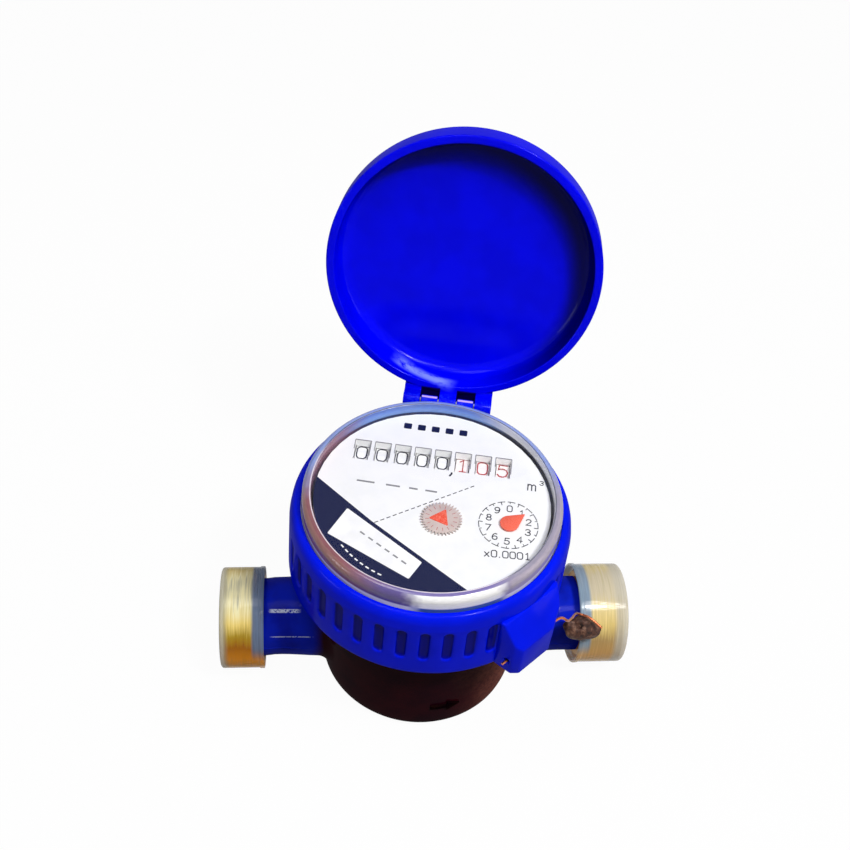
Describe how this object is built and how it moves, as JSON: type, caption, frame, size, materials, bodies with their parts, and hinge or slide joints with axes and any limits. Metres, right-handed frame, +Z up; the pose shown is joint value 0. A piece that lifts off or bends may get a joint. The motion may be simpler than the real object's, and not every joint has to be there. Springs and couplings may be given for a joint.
{
  "type": "water meter",
  "caption": "Dry-dial water meter for a small pipe: cup body with a threaded neck each side, thread caps, ribbed clamp ring, clear register with number wheels, hinged lid swung open.",
  "frame": {"origin": "centre of the flat base, below the register's axis", "axes": "+X along the pipe in the direction of flow, -Y towards the reader of the dial, +Z up; the register, ring and lid are turned 10.3 degrees clockwise about +Z seen from above"},
  "size_m": [0.1128, 0.1083, 0.1345],
  "materials": {
    "painted_brass": "gloss paint over a brass casting, dark maroon brown on the cup and dark navy blue on the necks",
    "blue_plastic": "gloss",
    "clear_plastic": "clear",
    "cap_plastic": "translucent",
    "white_dial": "satin white with printed dark and red marks",
    "white_plastic": "satin",
    "black_wheel": "satin white with black digits",
    "red_wheel": "satin white with red digits",
    "red_plastic": "gloss",
    "steel": "ground",
    "magnet": "pressed ferrite",
    "rubber": "matt",
    "lead": "dull, weathered",
    "copper": "bare drawn wire"
  },
  "bodies": {
    "meter": {"body_casting": "painted_brass", "inlet_strainer": "white_plastic", "impeller_pin": "steel", "o_ring": "rubber", "separator_plate": "white_plastic", "magnetic_shield": "steel", "register_cup": "white_plastic", "gear_frame": "white_plastic", "dial_plate": "white_dial", "wheel_axle": "steel", "transfer_axle": "steel", "register_housing": "clear_plastic", "clamp_ring": "blue_plastic", "hinge_pin": "steel", "seal_wire": "copper", "lead_seal": "lead"},
    "impeller": {"impeller": "white_plastic", "impeller_magnet": "magnet"},
    "follower": {"follower_spindle": "white_plastic", "follower_magnet": "magnet"},
    "star": {"star_spindle": "white_plastic", "flow_star": "white_plastic"},
    "idler": {"idler_spindle": "white_plastic"},
    "pointer": {"pointer_spindle": "white_plastic", "dial_pointer": "red_plastic"},
    "worm": {"worm_spindle": "white_plastic"},
    "wheel_1": {"number_wheel_1": "black_wheel"},
    "wheel_2": {"number_wheel_2": "black_wheel"},
    "wheel_3": {"number_wheel_3": "black_wheel"},
    "wheel_4": {"number_wheel_4": "black_wheel"},
    "wheel_5": {"number_wheel_5": "black_wheel"},
    "wheel_6": {"number_wheel_6": "red_wheel"},
    "wheel_7": {"number_wheel_7": "red_wheel"},
    "wheel_8": {"number_wheel_8": "red_wheel"},
    "transfer_1": {"transfer_pinion_1": "white_plastic"},
    "transfer_2": {"transfer_pinion_2": "white_plastic"},
    "transfer_3": {"transfer_pinion_3": "white_plastic"},
    "transfer_4": {"transfer_pinion_4": "white_plastic"},
    "transfer_5": {"transfer_pinion_5": "white_plastic"},
    "transfer_6": {"transfer_pinion_6": "white_plastic"},
    "transfer_7": {"transfer_pinion_7": "white_plastic"},
    "lid": {"lid": "blue_plastic"},
    "inlet_cap": {"inlet_cap": "cap_plastic"},
    "outlet_cap": {"outlet_cap": "cap_plastic"}
  },
  "joints": [
    {"name": "impeller_spin", "type": "hinge", "parent": "meter", "child": "impeller", "pos_m": [0, 0, 0.02], "axis": [0, 0, 1], "continuous": true},
    {"name": "follower_spin", "type": "hinge", "parent": "meter", "child": "follower", "pos_m": [0, 0, 0.055], "axis": [0, 0, 1], "continuous": true},
    {"name": "star_spin", "type": "hinge", "parent": "meter", "child": "star", "pos_m": [0.00165, -0.0066, 0.055], "axis": [0, 0, 1], "continuous": true},
    {"name": "idler_spin", "type": "hinge", "parent": "meter", "child": "idler", "pos_m": [0.01008, -0.01097, 0.055], "axis": [0, 0, 1], "continuous": true},
    {"name": "pointer_spin", "type": "hinge", "parent": "meter", "child": "pointer", "pos_m": [0.0187, -0.00838, 0.055], "axis": [0, 0, 1], "continuous": true},
    {"name": "worm_spin", "type": "hinge", "parent": "meter", "child": "worm", "pos_m": [0.02164, 0.0017, 0.055], "axis": [0, 0, 1], "continuous": true},
    {"name": "wheel_8_spin", "type": "hinge", "parent": "meter", "child": "wheel_8", "pos_m": [0.01929, 0.01062, 0.0572], "axis": [0.9839, -0.1788, 0], "continuous": true},
    {"name": "wheel_7_spin", "type": "hinge", "parent": "meter", "child": "wheel_7", "pos_m": [0.01404, 0.01158, 0.0572], "axis": [0.9839, -0.1788, 0], "continuous": true},
    {"name": "transfer_7_spin", "type": "hinge", "parent": "meter", "child": "transfer_7", "pos_m": [0.01497, 0.00177, 0.05637], "axis": [0.9839, -0.1788, 0], "continuous": true},
    {"name": "wheel_6_spin", "type": "hinge", "parent": "meter", "child": "wheel_6", "pos_m": [0.00878, 0.01253, 0.0572], "axis": [0.9839, -0.1788, 0], "continuous": true},
    {"name": "transfer_6_spin", "type": "hinge", "parent": "meter", "child": "transfer_6", "pos_m": [0.00971, 0.00272, 0.05637], "axis": [0.9839, -0.1788, 0], "continuous": true},
    {"name": "wheel_5_spin", "type": "hinge", "parent": "meter", "child": "wheel_5", "pos_m": [0.00353, 0.01349, 0.0572], "axis": [0.9839, -0.1788, 0], "continuous": true},
    {"name": "transfer_5_spin", "type": "hinge", "parent": "meter", "child": "transfer_5", "pos_m": [0.00446, 0.00368, 0.05637], "axis": [0.9839, -0.1788, 0], "continuous": true},
    {"name": "wheel_4_spin", "type": "hinge", "parent": "meter", "child": "wheel_4", "pos_m": [-0.00173, 0.01444, 0.0572], "axis": [0.9839, -0.1788, 0], "continuous": true},
    {"name": "transfer_4_spin", "type": "hinge", "parent": "meter", "child": "transfer_4", "pos_m": [-0.0008, 0.00463, 0.05637], "axis": [0.9839, -0.1788, 0], "continuous": true},
    {"name": "wheel_3_spin", "type": "hinge", "parent": "meter", "child": "wheel_3", "pos_m": [-0.00698, 0.01539, 0.0572], "axis": [0.9839, -0.1788, 0], "continuous": true},
    {"name": "transfer_3_spin", "type": "hinge", "parent": "meter", "child": "transfer_3", "pos_m": [-0.00605, 0.00559, 0.05637], "axis": [0.9839, -0.1788, 0], "continuous": true},
    {"name": "wheel_2_spin", "type": "hinge", "parent": "meter", "child": "wheel_2", "pos_m": [-0.01223, 0.01635, 0.0572], "axis": [0.9839, -0.1788, 0], "continuous": true},
    {"name": "transfer_2_spin", "type": "hinge", "parent": "meter", "child": "transfer_2", "pos_m": [-0.0113, 0.00654, 0.05637], "axis": [0.9839, -0.1788, 0], "continuous": true},
    {"name": "wheel_1_spin", "type": "hinge", "parent": "meter", "child": "wheel_1", "pos_m": [-0.01749, 0.0173, 0.0572], "axis": [0.9839, -0.1788, 0], "continuous": true},
    {"name": "transfer_1_spin", "type": "hinge", "parent": "meter", "child": "transfer_1", "pos_m": [-0.01656, 0.0075, 0.05637], "axis": [0.9839, -0.1788, 0], "continuous": true},
    {"name": "lid_hinge", "type": "hinge", "parent": "meter", "child": "lid", "pos_m": [0.00688, 0.03788, 0.0629], "axis": [0.9839, -0.1788, 0], "range_deg": [0, 106]},
    {"name": "inlet_cap_pull", "type": "slide", "parent": "meter", "child": "inlet_cap", "axis": [-1, 0, 0], "range_m": [0, 0.02]},
    {"name": "outlet_cap_pull", "type": "slide", "parent": "meter", "child": "outlet_cap", "axis": [1, 0, 0], "range_m": [0, 0.02]}
  ],
  "couplings": [
    {"joint": "follower_spin", "follows": "impeller_spin", "ratio": 1},
    {"joint": "star_spin", "follows": "impeller_spin", "ratio": -0.36364},
    {"joint": "idler_spin", "follows": "impeller_spin", "ratio": 0.09697},
    {"joint": "pointer_spin", "follows": "impeller_spin", "ratio": -0.027706},
    {"joint": "worm_spin", "follows": "impeller_spin", "ratio": 0.055411},
    {"joint": "wheel_8_spin", "follows": "impeller_spin", "ratio": 0.0027706},
    {"joint": "wheel_7_spin", "follows": "impeller_spin", "ratio": 0.00027706},
    {"joint": "transfer_7_spin", "follows": "impeller_spin", "ratio": -0.00069264},
    {"joint": "wheel_6_spin", "follows": "impeller_spin", "ratio": 0.000027706},
    {"joint": "transfer_6_spin", "follows": "impeller_spin", "ratio": -0.000069264},
    {"joint": "wheel_5_spin", "follows": "impeller_spin", "ratio": 0.0000027706},
    {"joint": "transfer_5_spin", "follows": "impeller_spin", "ratio": -0.0000069264},
    {"joint": "wheel_4_spin", "follows": "impeller_spin", "ratio": 0.00000027706},
    {"joint": "transfer_4_spin", "follows": "impeller_spin", "ratio": -0.00000069264},
    {"joint": "wheel_3_spin", "follows": "impeller_spin", "ratio": 0.000000027706},
    {"joint": "transfer_3_spin", "follows": "impeller_spin", "ratio": -0.000000069264},
    {"joint": "wheel_2_spin", "follows": "impeller_spin", "ratio": 0.0000000027706},
    {"joint": "transfer_2_spin", "follows": "impeller_spin", "ratio": -0.0000000069264},
    {"joint": "wheel_1_spin", "follows": "impeller_spin", "ratio": 0.00000000027706},
    {"joint": "transfer_1_spin", "follows": "impeller_spin", "ratio": -0.00000000069264}
  ]
}
